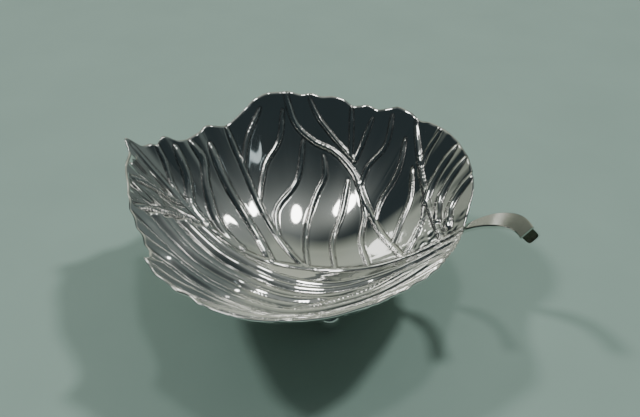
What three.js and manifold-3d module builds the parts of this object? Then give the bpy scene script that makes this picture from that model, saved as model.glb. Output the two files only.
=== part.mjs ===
// A silver leaf-form bowl: one raised sheet with a wavy rim, a hollow curled stem for a handle,
// and three ball feet on turned collars.  Millimetres, +Z up, X along the leaf with the stem at +X.
import * as THREE from "three";
import { mergeVertices } from "three/addons/utils/BufferGeometryUtils.js";
import Module from "manifold-3d";

const wasm = await Module();
wasm.setup();

// ---------------------------------------------------------------- driving dimensions
const GAP = 0.3; // room left at every soldered joint

const SHEET = 1.0; // thickness of the leaf's metal
const FLOOR_HEIGHT = 10.5; // inside of the bowl at its lowest point
const WALL_POWER = 2.1; // the wall rises as this power of the radius
const LEAF_STEPS = 120; // facets round the leaf, one of them on the tip
const LEAF_RINGS = 15; // facets from the middle out to the rim

// The rim seen from above: angle from +X in degrees, distance from the middle.  Lobes are the
// high numbers and notches the low ones, and the tip of the leaf is at 174.
const RIM_RADIUS = [
  [5, 85.3], [11, 88], [19, 92], [30, 95], [43, 96], [52, 95], [56.5, 93.8], [61, 94.7],
  [66, 94.6], [70, 92.5], [74, 90.8], [78, 91], [81, 90], [84, 89.3], [88, 90.8], [92, 91.2],
  [97, 90.7], [101, 91.5], [105, 91], [110, 92], [117, 92], [123, 90.7], [128, 88], [133, 85.6],
  [138, 84.2], [142, 85.4], [146, 86.8], [150, 86], [155, 86.3], [159, 88], [164, 93.4],
  [166.5, 93.3], [168, 95.5], [171, 98], [174, 104], [177.5, 99], [187, 93], [195, 89],
  [204, 86.5], [218, 83.5], [225, 83], [231, 85.5], [234, 90], [244, 89.5], [270, 90], [281, 89],
  [291, 87], [306, 85.5], [323, 85], [332, 85.5], [340, 84], [352, 83],
];

// How far the wall has climbed above the floor at WALL_REACH from the middle, at the same kind
// of angle.  It is lowest along the midrib, which runs from the stem at 6 to the tip at 174.
const WALL_REACH = 90;
const WALL_RISE = [
  [5, 45], [14, 50], [30, 53], [60, 57], [90, 62], [120, 63.5], [145, 62], [160, 58], [174, 49],
  [186, 58], [205, 64], [225, 62.5], [245, 55.5], [270, 52.5], [291, 55], [320, 59], [338, 59],
  [350, 52],
];

const STEM_WALL = 0.8; // metal of the hollow stem
const STEM_SQUARENESS = 0.4; // power of its rounded underside: 1 is an ellipse, 0 a box
const STEM_STEPS = 22; // facets along the stem
const STEM_FACE_NORMAL = new THREE.Vector3(-0.71, -0.15, 0.69); // the flat face leans to the bowl
const STEM_ROOT = 0.23; // the share of the run that laps under the leaf
// Share of the run, then width of the flat top face and depth from it to the rounded underside.
const STEM_FACE_WIDTH = [[0, 3.2], [0.23, 3.4], [0.4, 6.2], [0.55, 8.2], [0.75, 8.6], [1, 8.1]];
const STEM_DEPTH = [[0, 2.6], [0.23, 2.8], [0.55, 3.6], [0.8, 5.2], [1, 7]];
// Middle of the stem's top face, from under the leaf out to the cut end.
const STEM_RUN = [
  [74, 9.5, 38.5], [79.5, 10, 44], [85.5, 10.5, 49.5], [92.5, 10.8, 54.3], [100.2, 9.4, 58.6],
  [106, 5.6, 62.2], [110, -0.4, 65.3], [112.2, -5.6, 66.9], [113.6, -10.3, 67.9],
];

const FOOT_BALL = 7; // radius of a ball foot
const FOOT_FLAT = 2.6; // radius of the flat it stands on
const FOOT_CIRCLE = 36; // distance of each foot from the middle
const FEET = [["tip", 180], ["front", -52], ["back", 52]];
const COLLAR_FOOT = 3.8; // radius of a collar where it meets its ball
const COLLAR_TOP = 7.5; // and where it meets the leaf

// ---------------------------------------------------------------- curves and closed bodies
// A smooth curve through [position, value] pairs that never overshoots them.  With a period it
// closes on itself.
function smoothCurve(points, period = 0) {
  let knots = points.map(([x, y]) => [x, y]);
  if (period) {
    const wrap = (k, turn) => [k[0] + turn * period, k[1]];
    knots = [
      ...knots.slice(-2).map((k) => wrap(k, -1)), ...knots, ...knots.slice(0, 2).map((k) => wrap(k, 1)),
    ];
  }
  const rise = knots.slice(1).map((k, i) => (k[1] - knots[i][1]) / (k[0] - knots[i][0]));
  const slope = knots.map((_, i) => {
    const [before, after] = [rise[i - 1], rise[i]];
    if (before === undefined || after === undefined) return before ?? after;
    return before * after > 0 ? (2 * before * after) / (before + after) : 0;
  });
  return (position) => {
    let x = position;
    if (period) x = ((((x - points[0][0]) % period) + period) % period) + points[0][0];
    let i = 0;
    while (i < knots.length - 2 && x > knots[i + 1][0]) i += 1;
    const width = knots[i + 1][0] - knots[i][0];
    const t = Math.min(Math.max((x - knots[i][0]) / width, 0), 1);
    const [a, b] = [t * t * (3 - 2 * t), t * (1 - t)];
    const bend = b * ((1 - t) * slope[i] - t * slope[i + 1]) * width;
    return knots[i][1] * (1 - a) + knots[i + 1][1] * a + bend;
  };
}

// A closed body from a list of triangles, each of three points.
function bodyOf(triangles) {
  const flat = triangles.flat().flatMap((p) => [p.x, p.y, p.z]);
  const geometry = new THREE.BufferGeometry();
  geometry.setAttribute("position", new THREE.Float32BufferAttribute(flat, 3));
  geometry.computeVertexNormals();
  return geometry;
}

// A four-sided facet, its corners in order round it.
const facet = (a, b, c, d) => [[a, b, c], [a, c, d]];

function solidOf(geometry) {
  const bare = geometry.clone();
  bare.deleteAttribute("normal");
  bare.deleteAttribute("uv");
  const merged = mergeVertices(bare, 1e-4);
  return new wasm.Manifold(
    new wasm.Mesh({
      numProp: 3,
      vertProperties: new Float32Array(merged.attributes.position.array),
      triVerts: new Uint32Array(merged.index.array),
    }),
  );
}

function geometryOf(solid) {
  const mesh = solid.getMesh();
  const geometry = new THREE.BufferGeometry();
  geometry.setAttribute("position", new THREE.BufferAttribute(mesh.vertProperties, 3));
  geometry.setIndex(new THREE.BufferAttribute(mesh.triVerts, 1));
  geometry.computeVertexNormals();
  return geometry;
}

// ---------------------------------------------------------------- the leaf
const rimRadius = smoothCurve(RIM_RADIUS, 360);
const wallRise = smoothCurve(WALL_RISE, 360);

// A point of the bowl's inside: angle in degrees, and share of the way from the middle to the rim.
function leafPoint(angle, share) {
  const turn = THREE.MathUtils.degToRad(angle);
  const reach = rimRadius(angle) * share;
  const climb = wallRise(angle) * (reach / WALL_REACH) ** WALL_POWER;
  return new THREE.Vector3(reach * Math.cos(turn), reach * Math.sin(turn), FLOOR_HEIGHT + climb);
}

// The way the inside faces there.
function leafNormal(angle, share) {
  if (share === 0) return new THREE.Vector3(0, 0, 1);
  const [turnStep, shareStep] = [0.5, 0.01];
  const round = leafPoint(angle + turnStep, share).sub(leafPoint(angle - turnStep, share));
  const out = leafPoint(angle, share).sub(leafPoint(angle, share - shareStep));
  return out.cross(round).normalize();
}

const under = (depth) => (angle, share) =>
  leafPoint(angle, share).addScaledVector(leafNormal(angle, share), -depth);

// The closed body between two surfaces over the leaf, each a function of angle and share.
function layerBetween(upper, lower) {
  const triangles = [];
  const angleAt = (i) => ((i % LEAF_STEPS) * 360) / LEAF_STEPS;
  for (let i = 0; i < LEAF_STEPS; i += 1) {
    const [a, b] = [angleAt(i), angleAt(i + 1)];
    triangles.push([upper(0, 0), upper(a, 1 / LEAF_RINGS), upper(b, 1 / LEAF_RINGS)]);
    triangles.push([lower(0, 0), lower(b, 1 / LEAF_RINGS), lower(a, 1 / LEAF_RINGS)]);
    for (let j = 1; j < LEAF_RINGS; j += 1) {
      const [near, far] = [j / LEAF_RINGS, (j + 1) / LEAF_RINGS];
      triangles.push(...facet(upper(a, near), upper(a, far), upper(b, far), upper(b, near)));
      triangles.push(...facet(lower(a, near), lower(b, near), lower(b, far), lower(a, far)));
    }
    triangles.push(...facet(upper(a, 1), lower(a, 1), lower(b, 1), upper(b, 1)));
  }
  return bodyOf(triangles);
}

const leafBowl = () => layerBetween(leafPoint, under(SHEET));

// Everything from just under the leaf's metal upwards, for trimming what is soldered beneath it.
function spaceOverLeaf() {
  const lift = new THREE.Vector3(0, 0, 40);
  return solidOf(layerBetween((a, s) => leafPoint(a, s).add(lift), under(SHEET + GAP)));
}

// ---------------------------------------------------------------- the stem
const stemRun = new THREE.CatmullRomCurve3(STEM_RUN.map((p) => new THREE.Vector3(...p)));
const stemWidth = smoothCurve(STEM_FACE_WIDTH);
const stemDepth = smoothCurve(STEM_DEPTH);

// A point beside the run: along it (0 to 1), across the face, and up from the face.
function stemPoint(along, across, up) {
  const forward = stemRun.getTangentAt(along);
  const side = STEM_FACE_NORMAL.clone().cross(forward).normalize();
  const lift = forward.clone().cross(side);
  return stemRun.getPointAt(along).addScaledVector(side, across).addScaledVector(lift, up);
}

// A closed sweep along part of the stem; section(along) gives [across, up] pairs, counted
// anticlockwise as seen from the cut end.
function stemSweep(from, to, section) {
  const rings = Array.from({ length: STEM_STEPS + 1 }, (_, i) => {
    const along = THREE.MathUtils.lerp(from, to, i / STEM_STEPS);
    return section(along).map(([across, up]) => stemPoint(along, across, up));
  });
  const triangles = [];
  for (let i = 0; i < STEM_STEPS; i += 1) {
    rings[i].forEach((point, k) => {
      const next = (k + 1) % rings[i].length;
      triangles.push(...facet(point, rings[i][next], rings[i + 1][next], rings[i + 1][k]));
    });
  }
  const flat = section(from).map(([across, up]) => new THREE.Vector2(across, up));
  THREE.ShapeUtils.triangulateShape(flat, []).forEach(([a, b, c]) => {
    triangles.push([rings[0][a], rings[0][c], rings[0][b]]);
    triangles.push([rings[STEM_STEPS][a], rings[STEM_STEPS][b], rings[STEM_STEPS][c]]);
  });
  return bodyOf(triangles);
}

// Half a superellipse below the face: square at the face, with rounded corners underneath.
function roundUnderside(halfWidth, depth, top, sides = 12) {
  return Array.from({ length: sides + 1 }, (_, i) => {
    const turn = Math.PI * (i / sides);
    const corner = (v) => Math.sign(v) * Math.abs(v) ** STEM_SQUARENESS;
    return [-halfWidth * corner(Math.cos(turn)), top - (depth + top) * corner(Math.sin(turn))];
  });
}

// The share of the run that a length in millimetres takes up.
const stemShare = (length) => length / stemRun.getLength();

function stemTopPlate() {
  const section = (along) => {
    const half = stemWidth(along) / 2;
    return [[-half, -STEM_WALL], [half, -STEM_WALL], [half, 0], [-half, 0]];
  };
  return stemSweep(STEM_ROOT, 1, section);
}

function stemUnderShell() {
  const top = -STEM_WALL - GAP;
  const section = (along) => {
    const half = stemWidth(along) / 2;
    const outside = roundUnderside(half, stemDepth(along), top);
    const inside = roundUnderside(half - STEM_WALL, stemDepth(along) - STEM_WALL, top);
    return [...outside, ...inside.reverse()];
  };
  return geometryOf(solidOf(stemSweep(0, 1, section)).subtract(spaceOverLeaf()));
}

// A plate that closes the stem, set a little way in from its cut end.
function stemEndPlate() {
  const inset = GAP + STEM_WALL;
  const section = (along) =>
    roundUnderside(stemWidth(along) / 2 - inset, stemDepth(along) - inset, -STEM_WALL - GAP);
  return stemSweep(1 - stemShare(1.8), 1 - stemShare(0.8), section);
}

// ---------------------------------------------------------------- the feet
const ballCentre = Math.sqrt(FOOT_BALL ** 2 - FOOT_FLAT ** 2); // height of a ball's middle

function footBall() {
  const start = -Math.acos(FOOT_FLAT / FOOT_BALL);
  const profile = [new THREE.Vector2(0, 0)];
  const steps = 11;
  for (let i = 0; i < steps; i += 1) {
    const turn = start + ((Math.PI / 2 - start) * i) / steps;
    profile.push(new THREE.Vector2(FOOT_BALL * Math.cos(turn), ballCentre + FOOT_BALL * Math.sin(turn)));
  }
  profile[1].y = 0;
  profile.push(new THREE.Vector2(0, ballCentre + FOOT_BALL));
  return new THREE.LatheGeometry(profile, 24).rotateX(Math.PI / 2);
}

// A small turned cone between the ball and the leaf, trimmed to the shape of both.
function footCollar(x, y) {
  const [base, crown] = [ballCentre + FOOT_BALL * 0.75, FLOOR_HEIGHT + 16];
  const profile = [
    new THREE.Vector2(0, base), new THREE.Vector2(COLLAR_FOOT, base),
    new THREE.Vector2(COLLAR_FOOT, base + 1.2), new THREE.Vector2(COLLAR_TOP, crown),
    new THREE.Vector2(0, crown),
  ];
  const cone = new THREE.LatheGeometry(profile, 24).rotateX(Math.PI / 2).translate(x, y, 0);
  const ball = new THREE.SphereGeometry(FOOT_BALL + GAP, 24, 16).translate(x, y, ballCentre);
  return geometryOf(solidOf(cone).subtract(spaceOverLeaf()).subtract(solidOf(ball)));
}

// ---------------------------------------------------------------- the assembly
const silver = (color, roughness) =>
  new THREE.MeshStandardMaterial({ color, metalness: 1, roughness, flatShading: true });

const bowl = new THREE.Group();
const add = (name, geometry, material) => {
  const mesh = new THREE.Mesh(geometry, material);
  mesh.name = name;
  bowl.add(mesh);
  return mesh;
};

add("leaf_bowl", leafBowl(), silver(0xc9cccd, 0.12));
add("stem_top_plate", stemTopPlate(), silver(0xd4d6d6, 0.1));
add("stem_under_shell", stemUnderShell(), silver(0xc4c7c8, 0.14));
add("stem_end_plate", stemEndPlate(), silver(0xb9bcbd, 0.16));
for (const [place, angle] of FEET) {
  const turn = THREE.MathUtils.degToRad(angle);
  const [x, y] = [FOOT_CIRCLE * Math.cos(turn), FOOT_CIRCLE * Math.sin(turn)];
  add(`foot_ball_${place}`, footBall(), silver(0xc6c9ca, 0.15)).position.set(x, y, 0);
  add(`foot_collar_${place}`, footCollar(x, y), silver(0xbfc2c3, 0.2));
}

// The origin is on the table, under the middle of the whole object.
const middle = new THREE.Box3().setFromObject(bowl, true).getCenter(new THREE.Vector3());
bowl.position.set(-middle.x, -middle.y, 0);

export default bowl;
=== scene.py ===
"""A polished silver leaf-form bowl: a raised and chased leaf on three ball feet, with a hollow
curled stem for a handle.  Metres, +Z up, the leaf lies along X with its stem at +X."""
import math

import bpy
import numpy as np
from mathutils import Matrix, Vector


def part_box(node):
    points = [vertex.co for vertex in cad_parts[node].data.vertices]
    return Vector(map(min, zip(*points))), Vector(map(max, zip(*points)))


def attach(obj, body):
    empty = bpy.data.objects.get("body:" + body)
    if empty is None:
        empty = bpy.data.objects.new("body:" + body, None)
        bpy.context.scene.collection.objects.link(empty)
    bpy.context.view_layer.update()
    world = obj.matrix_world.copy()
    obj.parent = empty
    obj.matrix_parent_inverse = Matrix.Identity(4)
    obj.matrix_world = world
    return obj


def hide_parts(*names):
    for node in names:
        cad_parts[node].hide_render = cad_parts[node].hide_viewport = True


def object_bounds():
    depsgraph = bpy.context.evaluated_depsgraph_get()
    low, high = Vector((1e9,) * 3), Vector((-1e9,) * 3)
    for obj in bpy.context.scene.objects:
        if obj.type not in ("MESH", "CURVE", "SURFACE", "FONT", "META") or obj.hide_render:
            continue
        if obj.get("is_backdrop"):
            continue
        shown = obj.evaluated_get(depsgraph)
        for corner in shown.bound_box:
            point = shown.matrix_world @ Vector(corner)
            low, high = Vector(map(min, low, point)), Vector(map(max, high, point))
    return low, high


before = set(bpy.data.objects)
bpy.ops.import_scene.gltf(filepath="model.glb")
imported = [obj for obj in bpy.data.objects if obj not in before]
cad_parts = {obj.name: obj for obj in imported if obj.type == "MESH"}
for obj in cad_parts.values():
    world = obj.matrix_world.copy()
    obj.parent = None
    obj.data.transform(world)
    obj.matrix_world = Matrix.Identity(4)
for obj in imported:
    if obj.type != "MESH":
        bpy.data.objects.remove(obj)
cad_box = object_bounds()

MM = 0.001


# ---------------------------------------------------------------- places taken from the frame
def box_mm(node):
    """The low and the high corner of a CAD node's box, in millimetres."""
    low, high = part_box(node)
    return np.array(low) / MM, np.array(high) / MM


FOOT_CIRCLE = 36.0  # how far each foot stands from the middle
FEET = {"tip": 180.0, "front": -52.0, "back": 52.0}  # degrees from +X


def leaf_middle():
    """The point of the table under the middle of the bowl, from the foot beneath the tip."""
    low, high = box_mm("foot_ball_tip")
    return np.array([(low[0] + high[0]) / 2 + FOOT_CIRCLE, (low[1] + high[1]) / 2, 0.0])


MIDDLE = leaf_middle()

# ---------------------------------------------------------------- the leaf's raised form, in mm
SHEET = 1.0  # how thick the metal is
FLOOR_HEIGHT = 10.5
WALL_POWER = 2.1  # above 1, the wall climbs ever more steeply from a flat bottom
WALL_REACH = 90.0

# The rim seen from above: angle from +X in degrees, distance from the middle.
RIM_RADIUS = [
    (5, 85.3), (11, 88), (19, 92), (30, 95), (43, 96), (52, 95), (56.5, 93.8), (61, 94.7),
    (66, 94.6), (70, 92.5), (74, 90.8), (78, 91), (81, 90), (84, 89.3), (88, 90.8), (92, 91.2),
    (97, 90.7), (101, 91.5), (105, 91), (110, 92), (117, 92), (123, 90.7), (128, 88),
    (133, 85.6), (138, 84.2), (142, 85.4), (146, 86.8), (150, 86), (155, 86.3), (159, 88),
    (164, 93.4), (166.5, 93.3), (168, 95.5), (171, 98), (174, 104), (177.5, 99), (187, 93),
    (195, 89), (204, 86.5), (218, 83.5), (225, 83), (231, 85.5), (234, 90), (244, 89.5),
    (270, 90), (281, 89), (291, 87), (306, 85.5), (323, 85), (332, 85.5), (340, 84), (352, 83),
]
# How far the wall has climbed at WALL_REACH from the middle; lowest along the midrib.
WALL_RISE = [
    (5, 45), (14, 50), (30, 53), (60, 57), (90, 62), (120, 63.5), (145, 62), (160, 58),
    (174, 49), (186, 58), (205, 64), (225, 62.5), (245, 55.5), (270, 52.5), (291, 55),
    (320, 59), (338, 59), (350, 52),
]


def smooth_curve(points, period=0.0):
    """A smooth curve through (position, value) pairs that never overshoots them."""
    knots = [(float(x), float(y)) for x, y in points]
    if period:
        before = [(x - period, y) for x, y in knots[-2:]]
        after = [(x + period, y) for x, y in knots[:2]]
        knots = before + knots + after
    x, y = np.array(knots).T
    rise = np.diff(y) / np.diff(x)
    slope = np.concatenate([rise[:1], np.zeros(len(x) - 2), rise[-1:]])
    same = rise[:-1] * rise[1:] > 0
    total = np.where(same, rise[:-1] + rise[1:], 1.0)
    slope[1:-1] = np.where(same, 2 * rise[:-1] * rise[1:] / total, 0.0)

    def value(position):
        p = np.asarray(position, float)
        if period:
            p = (p - points[0][0]) % period + points[0][0]
        i = np.clip(np.searchsorted(x, p, side="right") - 1, 0, len(x) - 2)
        width = x[i + 1] - x[i]
        t = np.clip((p - x[i]) / width, 0, 1)
        bend = t * (1 - t) * ((1 - t) * slope[i] - t * slope[i + 1]) * width
        ease = t * t * (3 - 2 * t)
        return y[i] * (1 - ease) + y[i + 1] * ease + bend

    return value


rim_radius = smooth_curve(RIM_RADIUS, 360)
wall_rise = smooth_curve(WALL_RISE, 360)


def smooth_point(x, y):
    """The bowl's inside, before chasing, over a place in plan counted from the middle."""
    angle = np.degrees(np.arctan2(y, x))
    climb = wall_rise(angle) * (np.hypot(x, y) / WALL_REACH) ** WALL_POWER
    return np.stack([x + MIDDLE[0], y + MIDDLE[1], FLOOR_HEIGHT + climb], -1)


def smooth_normal(x, y):
    """The way the smooth inside faces."""
    step = 0.25
    along = smooth_point(x + step, y) - smooth_point(x - step, y)
    across = smooth_point(x, y + step) - smooth_point(x, y - step)
    normal = np.cross(along, across)
    return normal / np.linalg.norm(normal, axis=-1, keepdims=True)


# ---------------------------------------------------------------- the chased veins, in mm
# Routes in plan, counted from the middle.  Each starts at its root and runs out towards the rim.
MIDRIB = [(84, 8), (72, 6.5), (57, 4.5), (40, 3), (20, 2.5), (0, 2), (-20, 0), (-35, 0),
          (-50, 2), (-64, 4), (-80, 8), (-101, 11)]
MAIN_VEINS = [
    [(0, 3), (-17, 16), (-35, 32), (-49, 45), (-62, 56)],
    [(56, 5), (41, 25), (26, 48), (17, 61), (3, 70), (-13, 73), (-25, 77), (-31, 83), (-34, 87)],
    [(75, 8), (71, 17), (65, 33), (57, 56), (50, 78)],
]
SIDE_VEINS = [
    [(15, 68), (-3, 78), (-12, 83), (-18, 88)],
    [(13, 69), (9, 88)],
    [(16, 67), (23, 84)],
    [(-20, 20), (-25, 32), (-17, 55), (-18, 72)],
    [(2, 4), (-5, 26), (-4, 49), (-1, 60), (-4, 68)],
    [(18, 4), (12, 24), (14, 42), (14, 58)],
    [(37, 4), (29, 24), (28, 40), (23, 52)],
    [(-49, 45), (-50, 59), (-46, 74)],
    [(-36, 34), (-37, 54), (-32, 68), (-33, 79)],
    [(22, 56), (24, 63), (34, 73), (35, 84)],
    [(35, 34), (36, 44), (44, 59), (45, 73)],
    [(48, 14), (51, 29), (54, 42), (52, 58)],
    [(57, 7), (61, 18), (63, 27), (62, 35)],
    [(57, 56), (59, 62), (65, 69)],
    [(-64, 4), (-78, 10), (-87, 19), (-92, 22)],
]
# The broad veins, three beside the tip and three beside the stem.
BROAD_VEINS = [
    [(-19, 1), (-30, 13), (-44, 24), (-57, 33), (-68, 43)],
    [(-36, 1), (-44, 4), (-54, 10), (-64, 23), (-70, 34), (-77, 36)],
    [(-57, 4), (-67, 8), (-75, 21), (-83, 28)],
    [(63, 36), (65, 44), (69, 51), (75, 57)],
    [(71, 20), (71, 34), (75, 42), (81, 48)],
    [(77, 14), (77, 25), (81, 32), (87, 37)],
]
# The veins that look like rope, and the one that looks braided.
TWISTED_VEINS = [
    [(-73, 2), (-77, -1), (-81, -4), (-86, -9), (-89, -13)],
    [(-60, -1), (-64, -4), (-69, -11), (-73, -20), (-76, -27), (-78, -32)],
]
BRAIDED_VEINS = [
    [(64, -12), (47, -20), (30, -29), (13, -38), (2, -47)],
]
# Each kind's routes, half its width, its height, the length over which its end fades, how deep
# the fine lines along it are, and how deep its slanted cuts are.
VEIN_KINDS = {
    "midrib": ([MIDRIB], 1.6, 0.7, 12.0, 0.3, 0.0),
    "main": (MAIN_VEINS, 1.6, 0.95, 12.0, 0.3, 0.0),
    "side": (SIDE_VEINS, 1.25, 0.8, 9.0, 0.3, 0.0),
    "broad": (BROAD_VEINS, 2.4, 1.5, 9.0, 0.0, 0.0),
    "twisted": (TWISTED_VEINS, 1.9, 1.5, 6.0, 0.0, 1.6),
    "braided": (BRAIDED_VEINS, 2.4, 1.7, 20.0, 0.0, 1.8),
}
VEIN_MARGIN = 7.0  # how far beside a vein its distance is still worked out
PORTION = 20000  # the number of places whose distances are worked out at a time
TIP_WIDTH = 0.4  # a vein's width where it ends, as a share of its full width
VEIN_SHOULDER = 0.7  # under 1, a vein's sides stand steeper than a parabola's

# The folds of the near side, which repeat the edge of the smooth bottom outwards.
FOLD_GUIDE = [(86, 10), (68, 2), (45, -4), (18, -8), (-4, -7), (-24, -5), (-44, -3),
              (-62, 1), (-80, 5), (-101, 8)]
FOLD_START = ((-78, -60), (36, 1))  # along X, how far from the guide the first one begins
FOLD_SPREAD = 80.0  # how far out from the guide they go
FOLD_PITCH = 7.2  # a fold's width at the middle of the leaf
FOLD_FAN = 0.03  # how much wider it grows with each millimetre towards the tip
FOLD_STEEPNESS = 0.38  # its height over its width
FOLD_VARIETY = 0.25  # how much the height differs from fold to fold
FOLD_ROUNDNESS = 1.25  # above 1, the valleys are rounded too
FOLD_DRIFT = 0.30  # how far a fold wanders sideways, as a share of the pitch
FOLD_WANDER = 60.0  # the length over which it does so
FOLD_RISE = 3.0  # the distance over which the first fold comes up
FOLD_CLEAR = 2.5  # the distance over which the folds give way to a vein
# The share of the way to the rim at which they would end, and the share over which they fade.
FOLD_RIM = (1.05, 0.15)
FOLD_LEAST = 0.4  # weaker than this, a fold has no groove beside it

GROOVE_LINE = 0.3  # outside a vein's edge, where the oxide in the groove is darkest
GROOVE_DEPTH = 0.16
GROOVE_REACH = 0.4
GROOVE_PLACE = 0.35  # the groove's middle, outside the vein's edge
GROOVE_LIMIT = 0.5  # where the sheet is raised this much, it has no groove


def flowing(points, step=0.8):
    """A smooth route through the points, as (x, y) every step millimetres or so."""
    p = np.array(points, float)
    reach = np.concatenate([[0], np.cumsum(np.hypot(*np.diff(p, axis=0).T))])
    tangent = np.gradient(p, reach, axis=0)
    s = np.linspace(0, reach[-1], max(int(reach[-1] / step), 4))
    i = np.clip(np.searchsorted(reach, s, side="right") - 1, 0, len(p) - 2)
    width = (reach[i + 1] - reach[i])[:, None]
    t = ((s - reach[i])[:, None]) / width
    a, b = (1 + 2 * t) * (1 - t) ** 2, t * (1 - t) ** 2 * width
    c, d = t * t * (3 - 2 * t), t * t * (t - 1) * width
    return a * p[i] + b * tangent[i] + c * p[i + 1] + d * tangent[i + 1]


class Relief:
    """What chasing does to the smooth sheet at a set of places: how far it lifts them, and for
    the finish, where each lies on its nearest vein."""

    FAR = 30.0

    def __init__(self, x, y):
        self.x, self.y = x, y
        self.place = smooth_point(x, y)
        self.normal = smooth_normal(x, y)
        self.lift = np.zeros(len(x))
        self.edge = np.full(len(x), self.FAR)  # distance outside the nearest vein's edge
        self.run = np.zeros(len(x))  # distance along that vein
        self.across = np.zeros(len(x))  # signed distance from its crest
        self.lines = np.zeros(len(x))  # depth of the fine lines along it
        self.cuts = np.zeros(len(x))  # depth of the slanted cuts across it

    def beside(self, points, margin):
        """For the places near a route, in portions: which they are, how far along the route
        each is, how much of it is left, and how far to its left or right."""
        plan = flowing(points)
        centre = smooth_point(plan[:, 0], plan[:, 1])
        steps = np.linalg.norm(np.diff(centre, axis=0), axis=1)
        s = np.concatenate([[0], np.cumsum(steps)])
        forward = np.gradient(centre, s, axis=0)
        forward /= np.linalg.norm(forward, axis=1, keepdims=True)
        near = np.where(
            (self.x > plan[:, 0].min() - margin) & (self.x < plan[:, 0].max() + margin)
            & (self.y > plan[:, 1].min() - margin) & (self.y < plan[:, 1].max() + margin))[0]
        for part in np.array_split(near, max(len(near) // PORTION, 1)):
            if not len(part):
                continue
            gap = ((self.place[part, None, :] - centre[None]) ** 2).sum(-1)
            k = gap.argmin(1)
            offset = self.place[part] - centre[k]
            ahead = (offset * forward[k]).sum(1)
            ahead = np.clip(ahead, np.where(k == 0, 0, -1), np.where(k == len(s) - 1, 0, 1))
            aside = offset - ahead[:, None] * forward[k]
            side = np.sign((np.cross(forward[k], aside) * self.normal[part]).sum(1))
            along = s[k] + ahead
            yield part, along, s[-1] - along, side * np.linalg.norm(aside, axis=1)

    def vein(self, points, half_width, height, fade, lines, cuts):
        """Raise one vein, which narrows and sinks towards its end."""
        for part, along, left, across in self.beside(points, half_width + VEIN_MARGIN):
            swell = np.sqrt(np.clip(left / fade, 0, 1))
            width = half_width * (TIP_WIDTH + (1 - TIP_WIDTH) * swell)
            rise = height * swell * np.clip(1 - (across / width) ** 2, 0, 1) ** VEIN_SHOULDER
            self.lift[part] = np.maximum(rise, self.lift[part])
            edge = np.abs(across) - width
            closer = edge < self.edge[part]
            for name, value in (("edge", edge), ("run", along), ("across", across),
                                ("lines", lines * swell), ("cuts", cuts * swell)):
                field = getattr(self, name)
                field[part] = np.where(closer, value, field[part])

    def folds(self):
        """Raise the folds of the near side, round-backed with a narrow valley between each and
        the next, side by side from the guide out to the rim."""
        off = np.zeros(len(self.x))
        for part, _, _, across in self.beside(FOLD_GUIDE, FOLD_SPREAD):
            off[part] = across
        share = np.hypot(self.x, self.y) / rim_radius(np.degrees(np.arctan2(self.y, self.x)))
        start = np.interp(self.x, *FOLD_START)  # none between the midrib and the ropes
        end, fade = FOLD_RIM
        strength = np.clip((off - start) / FOLD_RISE, 0, 1) * np.clip(self.edge / FOLD_CLEAR, 0, 1)
        strength *= np.clip((end - share) / fade, 0, 1)
        pitch = FOLD_PITCH - FOLD_FAN * self.x
        phase = off / pitch + FOLD_DRIFT * ripple(self.x, self.y, FOLD_WANDER)
        swell = 0.85 + FOLD_VARIETY * np.sin(2.4 * np.floor(phase))  # no two neighbours are alike
        profile = np.abs(np.sin(math.pi * phase)) ** FOLD_ROUNDNESS
        self.lift = np.maximum(self.lift, FOLD_STEEPNESS * pitch * swell * profile * strength)
        valley = (0.5 - np.abs(phase % 1 - 0.5)) * pitch + self.FAR * (strength < FOLD_LEAST)
        self.edge = np.minimum(self.edge, valley + GROOVE_LINE)


def ripple(x, y, wavelength, turns=5):
    """An even, patternless unevenness between -1 and 1, made of crossing waves."""
    total = np.zeros(len(x))
    for i in range(turns):
        heading = 2.4 * i + 0.3
        pitch = 2 * math.pi / (wavelength * (0.8 + 0.13 * i))
        total += np.sin(pitch * (x * math.cos(heading) + y * math.sin(heading)) + 1.7 * i)
    return total / turns


RUFFLE = 0.35  # how far the rim puffs up between the ends of two veins
RUFFLE_START = 0.55  # the share of the way to the rim at which it begins
RUFFLE_VEIN = 0.78  # a vein that ends short of this share of the way doesn't count
RUFFLE_ROOM = 11.0  # ends closer than this many degrees puff up less
UNEVENNESS = 0.04  # left by the hammer all over
NEAR_UNEVENNESS = 0.08  # and this much more on the near side
UNEVEN_WAVE = 17.0
KNUCKLE_PLACE = (73.0, 5.0)  # the hammered patch above the stem's root
KNUCKLE_REACH = 12.0
KNUCKLE_HEIGHT = 0.75
KNUCKLE_WAVE = 5.2


def ruffle(x, y):
    """The puffing of the sheet between veins, which grows towards the rim."""
    routes = MAIN_VEINS + SIDE_VEINS + BROAD_VEINS + TWISTED_VEINS + BRAIDED_VEINS
    ends = [(math.degrees(math.atan2(b, a)) % 360, math.hypot(a, b))
            for a, b in (route[-1] for route in routes)]
    angles = sorted(angle for angle, reach in ends
                    if reach > RUFFLE_VEIN * float(rim_radius(angle)))
    a = np.array([angles[-1] - 360] + angles + [angles[0] + 360])
    angle = np.degrees(np.arctan2(y, x)) % 360
    i = np.clip(np.searchsorted(a, angle, side="right") - 1, 0, len(a) - 2)
    room = a[i + 1] - a[i]
    wave = -np.cos(2 * math.pi * (angle - a[i]) / room) * np.minimum(room / RUFFLE_ROOM, 1)
    share = np.hypot(x, y) / rim_radius(angle)
    return RUFFLE * wave * np.clip((share - RUFFLE_START) / (1 - RUFFLE_START), 0, 1) ** 2


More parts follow.
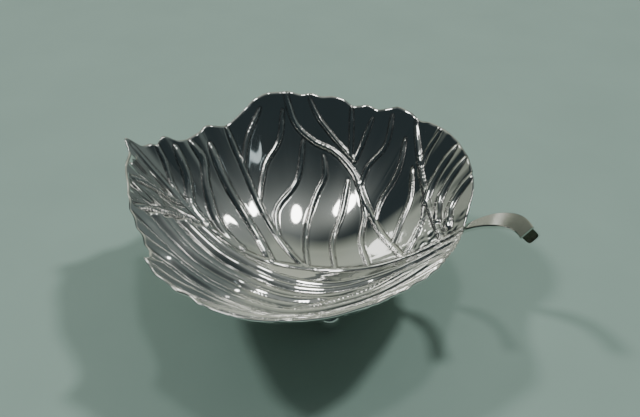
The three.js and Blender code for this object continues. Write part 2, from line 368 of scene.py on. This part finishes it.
def chase(x, y):
    """The leaf's surface at places in plan, with everything that is chased into it."""
    relief = Relief(x, y)
    for routes, *form in VEIN_KINDS.values():
        for route in routes:
            relief.vein(route, *form)
    relief.folds()
    clear = 1 - np.clip(relief.lift / GROOVE_LIMIT, 0, 1)
    off = (relief.edge - GROOVE_PLACE) / GROOVE_REACH
    relief.lift -= GROOVE_DEPTH * clear * np.exp(-off ** 2)
    near_side = np.clip((-y - 5) / 30, 0, 1)
    relief.lift += (UNEVENNESS + NEAR_UNEVENNESS * near_side) * ripple(x, y, UNEVEN_WAVE)
    relief.lift += ruffle(x, y)
    off = np.hypot(x - KNUCKLE_PLACE[0], y - KNUCKLE_PLACE[1]) / KNUCKLE_REACH
    knuckles = np.abs(ripple(x, y, KNUCKLE_WAVE, 4)) - 0.3
    relief.lift += KNUCKLE_HEIGHT * knuckles * np.exp(-off ** 2)
    return relief


# ---------------------------------------------------------------- mesh helpers
def mesh_object(name, vertices, faces, smooth=True, sharp=None):
    """A mesh object from vertices in millimetres, its edges sharp past an angle in degrees."""
    mesh = bpy.data.meshes.new(name)
    mesh.from_pydata((np.asarray(vertices) * MM).tolist(), [], faces)
    mesh.validate()
    mesh.update()
    mesh.polygons.foreach_set("use_smooth", [smooth] * len(mesh.polygons))
    if sharp:
        mesh.set_sharp_from_angle(angle=math.radians(sharp))
    piece = bpy.data.objects.new(name, mesh)
    bpy.context.scene.collection.objects.link(piece)
    return piece


HALVE_WITHIN = 0.72  # the share of the way to the rim inside which a ring has half the points


def ring_plan(outer_count, spacing, outer_share):
    """Rings from the middle out: (share of the way to the rim, number of points).  The number
    halves as the radius does, so that the facets stay near one size."""
    steps = int(outer_share * WALL_REACH / spacing)
    shares = outer_share * np.arange(1, steps + 1) / steps
    halvings = np.maximum(0, np.floor(np.log2(HALVE_WITHIN / shares) + 1)).astype(int)
    return [(share, max(8, outer_count >> n)) for share, n in zip(shares, halvings)]


def disc(outer_count, spacing, outer_share):
    """Plan positions and faces of a fine disc over the leaf, facing up."""
    rings = ring_plan(outer_count, spacing, outer_share)
    xs, ys, faces, starts = [0.0], [0.0], [], []
    for share, count in rings:
        starts.append(len(xs))
        angle = np.arange(count) * 360.0 / count
        reach = rim_radius(angle) * share
        xs.extend(reach * np.cos(np.radians(angle)))
        ys.extend(reach * np.sin(np.radians(angle)))
    first, count = starts[0], rings[0][1]
    for i in range(count):
        faces.append((0, first + i, first + (i + 1) % count))
    for (_, inner), (_, outer), a, b in zip(rings, rings[1:], starts, starts[1:]):
        for i in range(inner):
            j = (i + 1) % inner
            if outer == inner:
                faces.append((a + i, b + i, b + j, a + j))
            else:
                p, q, r = 2 * i, 2 * i + 1, (2 * i + 2) % outer
                faces.append((a + i, b + p, b + q))
                faces.append((a + i, b + q, a + j))
                faces.append((a + j, b + q, b + r))
    return np.array(xs), np.array(ys), faces, starts[-1]


# ---------------------------------------------------------------- the leaf
INSIDE_COUNT = 1024  # points round the rim
INSIDE_SPACING = 0.7  # between two rings, in mm
UNDER_COUNT = INSIDE_COUNT // 2
UNDER_SPACING = 1.25
EDGE_SHARE = 0.9965  # where the rim's small rounding begins
UNDER_SHARE = 0.85  # how much of the chasing shows on the underside


def leaf():
    """The chased inside, a lip round the rim and the underside, joined as one closed skin."""
    x, y, faces, rim = disc(INSIDE_COUNT, INSIDE_SPACING, EDGE_SHARE)
    inside = chase(x, y)
    top = inside.place + inside.normal * inside.lift[:, None]
    angle = np.radians(np.arange(INSIDE_COUNT) * 360.0 / INSIDE_COUNT)
    reach = rim_radius(np.degrees(angle))
    lip = chase(reach * np.cos(angle), reach * np.sin(angle))
    lip_points = lip.place + lip.normal * (lip.lift - SHEET / 2)[:, None]
    x, y, under_faces, under_rim = disc(UNDER_COUNT, UNDER_SPACING, EDGE_SHARE)
    outside = chase(x, y)
    outside.edge[:] = Relief.FAR  # nothing is blackened underneath
    under = outside.place + outside.normal * (UNDER_SHARE * outside.lift - SHEET)[:, None]
    lip_start = len(top)
    base = lip_start + INSIDE_COUNT
    for i in range(INSIDE_COUNT):
        j = (i + 1) % INSIDE_COUNT
        faces.append((rim + i, lip_start + i, lip_start + j, rim + j))
    for i in range(UNDER_COUNT):
        j = (i + 1) % UNDER_COUNT
        low, next_low = base + under_rim + i, base + under_rim + j
        first, middle, last = (lip_start + (2 * i + k) % INSIDE_COUNT for k in range(3))
        faces.append((low, middle, first))
        faces.append((low, next_low, middle))
        faces.append((next_low, last, middle))
    faces += [tuple(base + i for i in reversed(f)) for f in under_faces]
    piece = mesh_object("leaf", np.vstack([top, lip_points, under]), faces)
    for name in ("edge", "run", "across", "lines", "cuts"):
        layer = piece.data.attributes.new(name, "FLOAT", "POINT")
        values = [getattr(relief, name) for relief in (inside, lip, outside)]
        layer.data.foreach_set("value", np.concatenate(values).astype(np.float32))
    return piece


# ---------------------------------------------------------------- the stem
STEM_WALL = 0.8
STEM_FACE_NORMAL = np.array([-0.71, -0.15, 0.69])  # roughly the way its face looks
STEM_ROOT = 0.23  # the share of its run at which the face starts
# Its width across the face and its depth below it, by the share of its run.
STEM_FACE_WIDTH = smooth_curve([(0, 3.2), (STEM_ROOT, 3.4), (0.4, 6.2), (0.55, 8.2),
                                (0.75, 8.6), (1, 8.1)])
STEM_DEPTH = smooth_curve([(0, 2.6), (STEM_ROOT, 2.8), (0.55, 3.6), (0.8, 5.2), (1, 7)])
# The middle of its face, from its root under the leaf to its cut end.
STEM_RUN = [
    (74, 9.5, 38.5), (79.5, 10, 44), (85.5, 10.5, 49.5), (92.5, 10.8, 54.3), (100.2, 9.4, 58.6),
    (106, 5.6, 62.2), (110, -0.4, 65.3), (112.2, -5.6, 66.9), (113.6, -10.3, 67.9),
]
STEM_SQUARENESS = 0.4  # 1 gives a round underside, 0 a square one
STEM_STEPS = 90
STEM_AIM = 0.4  # how far ahead and back its direction is taken
BEVEL, BEVEL_DROP = 0.55, 0.4  # how wide and how deep the rubbed edges of its face are
PLATE_OVERHANG = 0.05  # how far the face stands out past the trough
JOINT_OVERLAP = 0.02  # how far the trough reaches up into the face
STOP_BITE = 0.1  # how far the end plate sits in the trough's wall
STOP_PLACE = (1.8, 0.8)  # its two sides, from the cut end


def through(points, per_span=60):
    """A smooth run through points in space (centripetal Catmull-Rom), finely sampled."""
    p = np.array(points, float)
    p = np.vstack([2 * p[0] - p[1], p, 2 * p[-1] - p[-2]])
    knots = np.sqrt(np.linalg.norm(np.diff(p, axis=0), axis=1))
    run = []
    for i in range(1, len(p) - 2):
        a, b, c = knots[i - 1:i + 2]
        before = (p[i] - p[i - 1]) / a - (p[i + 1] - p[i - 1]) / (a + b) + (p[i + 1] - p[i]) / b
        after = (p[i + 1] - p[i]) / b - (p[i + 2] - p[i]) / (b + c) + (p[i + 2] - p[i + 1]) / c
        t = np.linspace(0, 1, per_span, endpoint=False)[:, None]
        run.append((1 + 2 * t) * (1 - t) ** 2 * p[i] + t * (1 - t) ** 2 * before * b
                   + t * t * (3 - 2 * t) * p[i + 1] + t * t * (t - 1) * after * b)
    return np.vstack(run + [p[-2:-1]])


stem_run = through(STEM_RUN) + MIDDLE
stem_reach = np.concatenate([[0], np.cumsum(np.linalg.norm(np.diff(stem_run, axis=0), axis=1))])
STEM_LENGTH = stem_reach[-1]


def stem_frame(along):
    """The middle of the stem's face at a share of its run, and the ways on, across and up."""
    def at(distance):
        return np.array([np.interp(distance, stem_reach, stem_run[:, i]) for i in range(3)])

    distance = along * STEM_LENGTH
    forward = at(min(distance + STEM_AIM, STEM_LENGTH)) - at(max(distance - STEM_AIM, 0))
    forward /= np.linalg.norm(forward)
    side = np.cross(STEM_FACE_NORMAL, forward)
    side /= np.linalg.norm(side)
    return at(distance), side, np.cross(forward, side)


def stem_sweep(name, start, end, section, steps=STEM_STEPS):
    """A closed sweep along the stem; section(along) gives (across, up) pairs."""
    vertices, faces = [], []
    for along in np.linspace(start, end, steps + 1):
        centre, side, lift = stem_frame(along)
        pairs = section(along)
        vertices += [centre + side * a + lift * u for a, u in pairs]
    count = len(pairs)
    for i in range(steps):
        for k in range(count):
            a, b = i * count + k, i * count + (k + 1) % count
            faces.append((a, b, b + count, a + count))
    faces.append(tuple(reversed(range(count))))
    faces.append(tuple(range(steps * count, (steps + 1) * count)))
    return mesh_object(name, vertices, faces, sharp=32)


def round_underside(half, depth, top, sides=28):
    """Half a superellipse below the face, from one edge of it round to the other."""
    turn = np.linspace(0, math.pi, sides + 1)
    across = -half * np.sign(np.cos(turn)) * np.abs(np.cos(turn)) ** STEM_SQUARENESS
    return list(zip(across, top - (depth + top) * np.abs(np.sin(turn)) ** STEM_SQUARENESS))


def stem_plate():
    """The flat top face, a little proud of the trough it closes, with rubbed edges."""
    def section(along):
        half = float(STEM_FACE_WIDTH(along)) / 2
        return [(-half, -STEM_WALL), (half, -STEM_WALL), (half, -BEVEL_DROP),
                (half - BEVEL, 0), (-half + BEVEL, 0), (-half, -BEVEL_DROP)]
    return stem_sweep("stem_face", STEM_ROOT, 1, section)


def stem_trough():
    """The hollow underside, from its root under the leaf to its open cut end."""
    top = -STEM_WALL + JOINT_OVERLAP

    def section(along):
        half, depth = float(STEM_FACE_WIDTH(along)) / 2, float(STEM_DEPTH(along))
        outer = round_underside(half - PLATE_OVERHANG, depth, top)
        inner = round_underside(half - STEM_WALL, depth - STEM_WALL, top)
        return outer + inner[::-1]
    return stem_sweep("stem_trough", 0, 1, section)


def stem_stop():
    """The plate that closes the hollow stem, set in from its cut end."""
    inset = STEM_WALL - STOP_BITE

    def section(along):
        half, depth = float(STEM_FACE_WIDTH(along)) / 2, float(STEM_DEPTH(along))
        return round_underside(half - inset, depth - inset, -STEM_WALL)
    start, end = (1 - length / STEM_LENGTH for length in STOP_PLACE)
    return stem_sweep("stem_stop", start, end, section, steps=3)


# ---------------------------------------------------------------- the feet
FOOT_BALL = 7.0  # the ball's radius
FOOT_FLAT = 2.6  # the radius of the worn flat it stands on
COLLAR_FOOT = 3.8  # the collar's widest radius on the ball
COLLAR_TOP = 5.2  # its radius at the leaf
# The bead round its foot: how far out from COLLAR_FOOT, and how far up.
COLLAR_BEAD = [(-0.4, 0.0), (0.0, 0.35), (-0.1, 0.9), (-0.5, 1.4)]
COLLAR_FLARE = 2.2  # how late it widens
COLLAR_SEAT = 0.72  # where it starts on the ball, as a share of the radius above its centre
SOLDER_DEPTH = 0.35  # how far a collar's top sits in the leaf's metal
BALL_CENTRE = math.sqrt(FOOT_BALL ** 2 - FOOT_FLAT ** 2)


def lathe(name, profile, centre, sides=64):
    """A turned body from (radius, height) pairs that start and end on its axis.  The height may
    be a function of the place in plan."""
    x0, y0 = centre
    angle = np.arange(sides) * 2 * math.pi / sides
    vertices, faces, rings = [], [], []
    for radius, height in profile:
        x, y = radius * np.cos(angle), radius * np.sin(angle)
        if radius == 0:
            x, y = np.zeros(1), np.zeros(1)
        z = height(x + x0, y + y0) if callable(height) else np.full(len(x), height)
        rings.append((len(vertices), len(x)))
        vertices += list(np.stack([x + x0 + MIDDLE[0], y + y0 + MIDDLE[1], z], -1))
    for (a, inner), (b, outer) in zip(rings, rings[1:]):
        for i in range(sides):
            j = (i + 1) % sides
            if inner == 1:
                faces.append((a, b + j, b + i))
            elif outer == 1:
                faces.append((a + i, a + j, b))
            else:
                faces.append((a + i, a + j, b + j, b + i))
    return mesh_object(name, vertices, faces, sharp=40)


def foot_ball(name, centre):
    """A ball worn flat where it stands."""
    start = -math.acos(FOOT_FLAT / FOOT_BALL)
    turns = np.linspace(start, math.pi / 2, 34)[1:-1]
    profile = [(0, 0.0), (FOOT_FLAT * 0.6, 0.0), (FOOT_FLAT * 0.97, 0.02)]
    profile += [(FOOT_BALL * math.cos(t), BALL_CENTRE + FOOT_BALL * math.sin(t)) for t in turns]
    return lathe(name, profile + [(0, BALL_CENTRE + FOOT_BALL)], centre)


def foot_collar(name, centre):
    """A small trumpet from the ball up to the leaf's underside, which its top follows."""
    base = BALL_CENTRE + FOOT_BALL * COLLAR_SEAT
    waist = COLLAR_FOOT + COLLAR_BEAD[-1][0]

    def under(x, y):
        relief = chase(x, y)
        place = relief.place + relief.normal * (UNDER_SHARE * relief.lift - SHEET)[:, None]
        return place[:, 2] + SOLDER_DEPTH

    def between(share):
        return lambda x, y: base + (under(x, y) - base) * share
    profile = [(0, base)] + [(COLLAR_FOOT + out, base + up) for out, up in COLLAR_BEAD]
    for i in range(1, 9):
        t = i / 8
        radius = waist * (1 - t ** COLLAR_FLARE) + COLLAR_TOP * t ** COLLAR_FLARE
        profile.append((radius, between(0.25 + 0.75 * t)))
    profile += [(COLLAR_TOP * 0.5, under), (0, under)]
    return lathe(name, profile, centre)


# ---------------------------------------------------------------- materials
class Nodes:
    """A short way to write the node tree of a material or a world."""

    def __init__(self, owner, shader="Principled BSDF"):
        owner.use_nodes = True
        self.tree = owner.node_tree
        self.shader = self.tree.nodes[shader]

    def add(self, kind, inputs=(), **settings):
        node = self.tree.nodes.new("ShaderNode" + kind)
        for name, value in settings.items():
            setattr(node, name, value)
        for socket, value in dict(inputs).items():
            self.feed(node.inputs[socket], value)
        return node

    def feed(self, socket, value):
        if isinstance(value, bpy.types.NodeSocket):
            self.tree.links.new(value, socket)
        else:
            socket.default_value = value

    def math(self, operation, *values):
        return self.add("Math", dict(enumerate(values)), operation=operation).outputs[0]

    def attribute(self, name):
        return self.add("Attribute", attribute_name=name).outputs["Fac"]

    def noise(self, scale, detail=2.0, stretch=(1, 1, 1)):
        place = self.add("TexCoord").outputs["Object"]
        spread = self.add("Mapping", {"Vector": place, "Scale": stretch}).outputs["Vector"]
        settings = {"Vector": spread, "Scale": scale, "Detail": detail}
        return self.add("TexNoise", settings).outputs["Fac"]

    def ramp(self, value, low, high, out_low=0.0, out_high=1.0):
        limits = {"Value": value, "From Min": low, "From Max": high,
                  "To Min": out_low, "To Max": out_high}
        return self.add("MapRange", limits).outputs["Result"]

    def mix(self, share, one, other):
        node = self.add("Mix", data_type="RGBA")
        for socket, value in (("Factor", share), ("A", one), ("B", other)):
            matches = [s for s in node.inputs if s.name == socket and s.enabled]
            self.feed(matches[0], value)
        return [s for s in node.outputs if s.enabled][0]

    def bump(self, height, distance_mm, normal=None):
        inputs = {"Height": height, "Distance": distance_mm * MM, "Strength": 1.0}
        if normal:
            inputs["Normal"] = normal
        return self.add("Bump", inputs).outputs["Normal"]


BRIGHT = (0.93, 0.925, 0.91, 1)
WARM = (0.88, 0.86, 0.81, 1)  # faintly tarnished
SATIN = (0.46, 0.47, 0.435, 1)  # the stem's duller face
OXIDE = (0.16, 0.155, 0.15, 1)  # in the grooves
OXIDE_REACH = 0.85  # how far the oxide fades out to each side of a groove's darkest line
# Painted shade: the two near-black tones of the plate in the stem's hollow end.
PAINTED_SHADE_CLOUD = ((0.10, 0.10, 0.075, 1), (0.20, 0.195, 0.15, 1))  # inside the stem
LINE_SPACING = 0.85  # between the fine lines along a vein
LINE_WANDER = 1.6  # how unevenly they run, in radians
CUT_PAIR = 4.8  # the length of a twisted or braided vein that two slanted cuts take up
CUT_SLANT = 1.3  # how far they lag with each millimetre across the vein, in radians
CUT_DEPTH = 3.0  # against a fine line's
CHASING_DEPTH = 0.045  # in mm, as are the next two
LEAF_GRAIN = 0.0012
PLAIN_GRAIN = 0.0006


def polished(name, roughness, wear, tint=BRIGHT):
    """Polished silver: patches of faint tarnish, and fine rubbing that dulls it unevenly."""
    material = bpy.data.materials.new(name)
    n = Nodes(material)
    n.shader.inputs["Metallic"].default_value = 1.0
    patches = n.ramp(n.noise(45.0), 0.4, 0.75, 0.0, 0.6)
    rubbing = n.ramp(n.noise(900.0, 4.0, (1, 0.25, 1)), 0.35, 0.8)
    colour = n.mix(patches, tint, WARM)
    return material, n, colour, n.math("MULTIPLY_ADD", rubbing, wear, roughness)


def plain_silver(name, roughness, wear, tint=BRIGHT):
    """Silver without chasing, only just uneven."""
    material, n, colour, rough = polished(name, roughness, wear, tint)
    n.feed(n.shader.inputs["Base Color"], colour)
    n.feed(n.shader.inputs["Roughness"], rough)
    n.feed(n.shader.inputs["Normal"], n.bump(n.noise(700.0, 3.0), PLAIN_GRAIN))
    return material


def chased_silver(name):
    """The leaf's silver: darkened in the grooves beside each vein, with fine chased lines."""
    material, n, colour, rough = polished(name, 0.035, 0.04)
    edge, run, across = (n.attribute(key) for key in ("edge", "run", "across"))
    off_groove = n.math("ABSOLUTE", n.math("SUBTRACT", edge, GROOVE_LINE))
    groove = n.ramp(off_groove, 0.0, OXIDE_REACH, 1.0, 0.0)
    dark = n.math("MULTIPLY", groove, n.ramp(n.noise(260.0), 0.3, 0.7, 0.45, 0.95))
    n.feed(n.shader.inputs["Base Color"], n.mix(dark, colour, OXIDE))
    n.feed(n.shader.inputs["Roughness"], n.math("MULTIPLY_ADD", groove, 0.22, rough))
    on_vein = n.ramp(edge, -0.5, 0.1, 1.0, 0.0)
    wander = n.math("MULTIPLY", n.noise(160.0), LINE_WANDER)
    fine = n.math("SINE", n.math("MULTIPLY_ADD", edge, 2 * math.pi / LINE_SPACING, wander))
    sideways = n.math("MULTIPLY", across, CUT_SLANT)
    slant = n.math("MULTIPLY_ADD", run, 2 * math.pi / CUT_PAIR, sideways)
    cut = n.math("POWER", n.math("ABSOLUTE", n.math("SINE", slant)), 0.6)
    lines = n.math("MULTIPLY", fine, n.attribute("lines"))
    cuts = n.math("MULTIPLY", cut, n.math("MULTIPLY", n.attribute("cuts"), CUT_DEPTH))
    height = n.math("MULTIPLY", n.math("ADD", lines, cuts), on_vein)
    chasing = n.bump(height, CHASING_DEPTH)
    n.feed(n.shader.inputs["Normal"], n.bump(n.noise(500.0, 2.0), LEAF_GRAIN, normal=chasing))
    return material


def painted_shade_dark(name):
    """The plate inside the stem's end, never polished; its near-black is painted shade."""
    material = bpy.data.materials.new(name)
    n = Nodes(material)
    n.shader.inputs["Metallic"].default_value = 1.0
    cloud = n.ramp(n.noise(600.0, 4.0), 0.35, 0.7)
    n.feed(n.shader.inputs["Base Color"], n.mix(cloud, *PAINTED_SHADE_CLOUD))
    n.feed(n.shader.inputs["Roughness"], n.ramp(cloud, 0, 1, 0.5, 0.7))
    n.feed(n.shader.inputs["Normal"], n.bump(n.noise(1500.0, 4.0), 0.03))
    return material


# ---------------------------------------------------------------- build
def place(piece, node, material, slot):
    """Give a piece its metal and its body, and hide the CAD node that it stands for; slot is not
    used.
    """
    piece.data.materials.append(material)
    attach(piece, "root")
    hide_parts(node)


place(leaf(), "leaf_bowl", chased_silver("leaf_metal"), "leaf_silver")
stem_metal = plain_silver("stem_metal", 0.07, 0.06)
face_metal = plain_silver("stem_face_metal", 0.16, 0.08, tint=SATIN)
place(stem_plate(), "stem_top_plate", face_metal, "stem_silver")
place(stem_trough(), "stem_under_shell", stem_metal, "stem_silver")
# The end plate's near-black colour is painted shade for the hollow end.
place(stem_stop(), "stem_end_plate", painted_shade_dark("stem_painted_shade"), "stem_silver")
foot_metal = plain_silver("foot_metal", 0.07, 0.08)
for end, degrees in FEET.items():
    turn = math.radians(degrees)
    foot = (FOOT_CIRCLE * math.cos(turn), FOOT_CIRCLE * math.sin(turn))
    place(foot_ball("ball_" + end, foot), "foot_ball_" + end, foot_metal, "foot_silver")
    place(foot_collar("collar_" + end, foot), "foot_collar_" + end, foot_metal, "foot_silver")

# ---------------------------------------------------------------- stage, camera and light
VIEW_TURN = math.radians(13.8)  # from +Y towards -X, as the viewer looks along the table
VIEW_DOWN = math.radians(37)
VIEW_DISTANCE = 386.0  # in mm, like the place it looks at
LOOK_AT = MIDDLE + np.array([2.1, 33.5, 30.0])
SENSOR = 36.0
FOCAL_SHARE = 650 / 640  # the focal length over the sensor's width
FLOOR_EDGE = 6000.0  # how far the floor reaches each way, in mm
FLOOR_PAINT = ((0.222, 0.318, 0.276, 1), (0.236, 0.336, 0.292, 1))


def seen(right, away, up):
    """A direction given as the viewer sees it: to the right, away along the table, and up."""
    c, s = math.cos(VIEW_TURN), math.sin(VIEW_TURN)
    return np.array([c * right - s * away, s * right + c * away, up])


def make_camera():
    data = bpy.data.cameras.new("camera")
    data.sensor_width = SENSOR
    data.lens = SENSOR * FOCAL_SHARE
    data.clip_start, data.clip_end = 0.01, 20
    camera = bpy.data.objects.new("camera", data)
    back = seen(0, -math.cos(VIEW_DOWN), math.sin(VIEW_DOWN))
    camera.location = Vector((LOOK_AT + back * VIEW_DISTANCE) * MM)
    camera.rotation_mode = "QUATERNION"
    camera.rotation_quaternion = Vector(-back).to_track_quat("-Z", "Y")
    bpy.context.scene.collection.objects.link(camera)
    bpy.context.scene.camera = camera


def make_floor():
    e = FLOOR_EDGE
    corners = [(-e, -e, 0), (e, -e, 0), (e, e, 0), (-e, e, 0)]
    floor = mesh_object("floor", corners, [(0, 1, 2, 3)], smooth=False)
    material = bpy.data.materials.new("floor_paint")
    n = Nodes(material)
    mottle = n.ramp(n.noise(14.0, 5.0), 0.3, 0.7)
    n.feed(n.shader.inputs["Base Color"], n.mix(mottle, *FLOOR_PAINT))
    n.shader.inputs["Roughness"].default_value = 0.6
    floor.data.materials.append(material)
    floor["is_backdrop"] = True


LAMP_AIM = Vector(MIDDLE * MM) + Vector((0, 0, 0.03))  # every lamp faces this place


def lamp(name, direction, size, distance, power, lights_floor, tint=(1, 1, 1)):
    """An elliptical lamp, its length lying away from the viewer.  It either lights the floor or
    only shows in the polished metal."""
    data = bpy.data.lights.new(name, "AREA")
    data.shape = "ELLIPSE"
    data.size, data.size_y = size
    data.energy = power
    data.color = tint
    light = bpy.data.objects.new(name, data)
    toward = Vector(seen(*direction)).normalized()
    right = Vector(seen(0, 1, 0)).cross(toward).normalized()
    up = toward.cross(right)
    turn = np.column_stack([right, up, toward])
    light.location = LAMP_AIM + toward * distance
    light.rotation_mode = "QUATERNION"
    light.rotation_quaternion = Matrix(turn.tolist()).to_quaternion()
    light.visible_glossy = not lights_floor
    light.visible_diffuse = lights_floor
    bpy.context.scene.collection.objects.link(light)


# The room is pale where a direction is on this one's side of the middle, and dark elsewhere.
ROOM_EDGE = seen(0.293, 0.888, -0.355)
ROOM_DARK = (0.022, 0.031, 0.034, 1)
ROOM_LOW = (0.13, 0.15, 0.13, 1)
ROOM_HIGH = (0.32, 0.355, 0.30, 1)
ROOM_BEYOND = (0.50, 0.53, 0.44, 1)
ROOM_RIGHT = (0.105, 0.13, 0.125, 1)
GLOW = (1.0, 1.08, 1.02, 1)
LAMP_TINT = (1.0, 1.0, 0.97)
WINDOW_TINT = (0.80, 0.96, 1.0)
# What the polished metal shows, three lamps, a white wall and a window: the direction, the width
# and length in metres, the radiance, the tint, and how bright and how narrow the glow round it
# is.
GLEAMS = {
    "gleam_right": ((0.51, 0.0, 0.86), (0.09, 0.20), 9.0, LAMP_TINT, (0.17, 30.0)),
    "gleam_middle": ((0.084, -0.09, 0.992), (0.175, 0.28), 9.0, LAMP_TINT, (0.27, 20.0)),
    "gleam_left": ((-0.40, -0.08, 0.91), (0.30, 0.28), 9.0, LAMP_TINT, (0.30, 40.0)),
    "white_wall": ((-0.57, 0.60, 0.56), (0.26, 0.24), 1.6, LAMP_TINT, (0.10, 60.0)),
    "window": ((0.485, -0.41, 0.77), (0.04, 0.16), 0.7, WINDOW_TINT, (0.0, 1.0)),
}
GLEAM_DISTANCE = 1.3
# The lamps as they light the table: direction and watts.
LAMPS = {
    "lamp_right": ((0.62, 0.30, 1.0), 88.0),
    "lamp_middle": ((0.03, 0.20, 1.0), 29.0),
    "lamp_left": ((-0.80, 0.23, 1.0), 68.0),
}
LAMP_SIZE = (0.45, 0.45)
LAMP_DISTANCE = 4.0
# The weak light from behind the viewer: direction, size, distance and watts.
FILL = ((0.0, -1.2, 1.0), (1.2, 1.2), 1.3, 2.0)


def make_world():
    """A room that is pale beyond the table, dimmer at the right, dark overhead and behind the
    viewer, and aglow round its lamps."""
    world = bpy.data.worlds.new("room")
    bpy.context.scene.world = world
    n = Nodes(world, "Background")
    direction = n.add("TexCoord").outputs["Generated"]

    def toward(way):
        inputs = {0: direction, 1: way}
        return n.add("VectorMath", inputs, operation="DOT_PRODUCT").outputs["Value"]

    side = n.ramp(toward(ROOM_EDGE), -0.15, 0.08)
    high = n.ramp(toward((0, 0, 1)), 0.08, 0.5)
    pale = n.mix(high, ROOM_LOW, ROOM_HIGH)
    beyond = n.math("MULTIPLY", n.ramp(toward(seen(0, 1, 0)), 0.55, 0.9), high)
    pale = n.mix(beyond, pale, ROOM_BEYOND)
    rightward = n.ramp(toward(seen(1, 0, 0)), 0.25, 0.55)
    pale = n.mix(rightward, pale, ROOM_RIGHT)
    colour = n.mix(side, ROOM_DARK, pale)
    for way, _, _, _, (strength, tightness) in GLEAMS.values():
        way = seen(*way) / np.linalg.norm(way)
        facing = n.math("POWER", n.math("MAXIMUM", toward(way), 0.0), tightness)
        colour = n.mix(n.math("MULTIPLY", facing, strength), colour, GLOW)
    n.feed(n.shader.inputs["Color"], colour)
    n.shader.inputs["Strength"].default_value = 1.0


def make_lamps():
    for name, (direction, power) in LAMPS.items():
        lamp(name, direction, LAMP_SIZE, LAMP_DISTANCE, power, True)
    lamp("fill", *FILL, True)
    for name, (direction, size, radiance, tint, _) in GLEAMS.items():
        # Radiance, times pi, times the area of the ellipse.
        power = radiance * math.pi * math.pi / 4 * size[0] * size[1]
        lamp(name, direction, size, GLEAM_DISTANCE, power, False, tint)


make_camera()
make_floor()
make_world()
make_lamps()

[[list(corner) for corner in box] for box in (cad_box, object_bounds())]
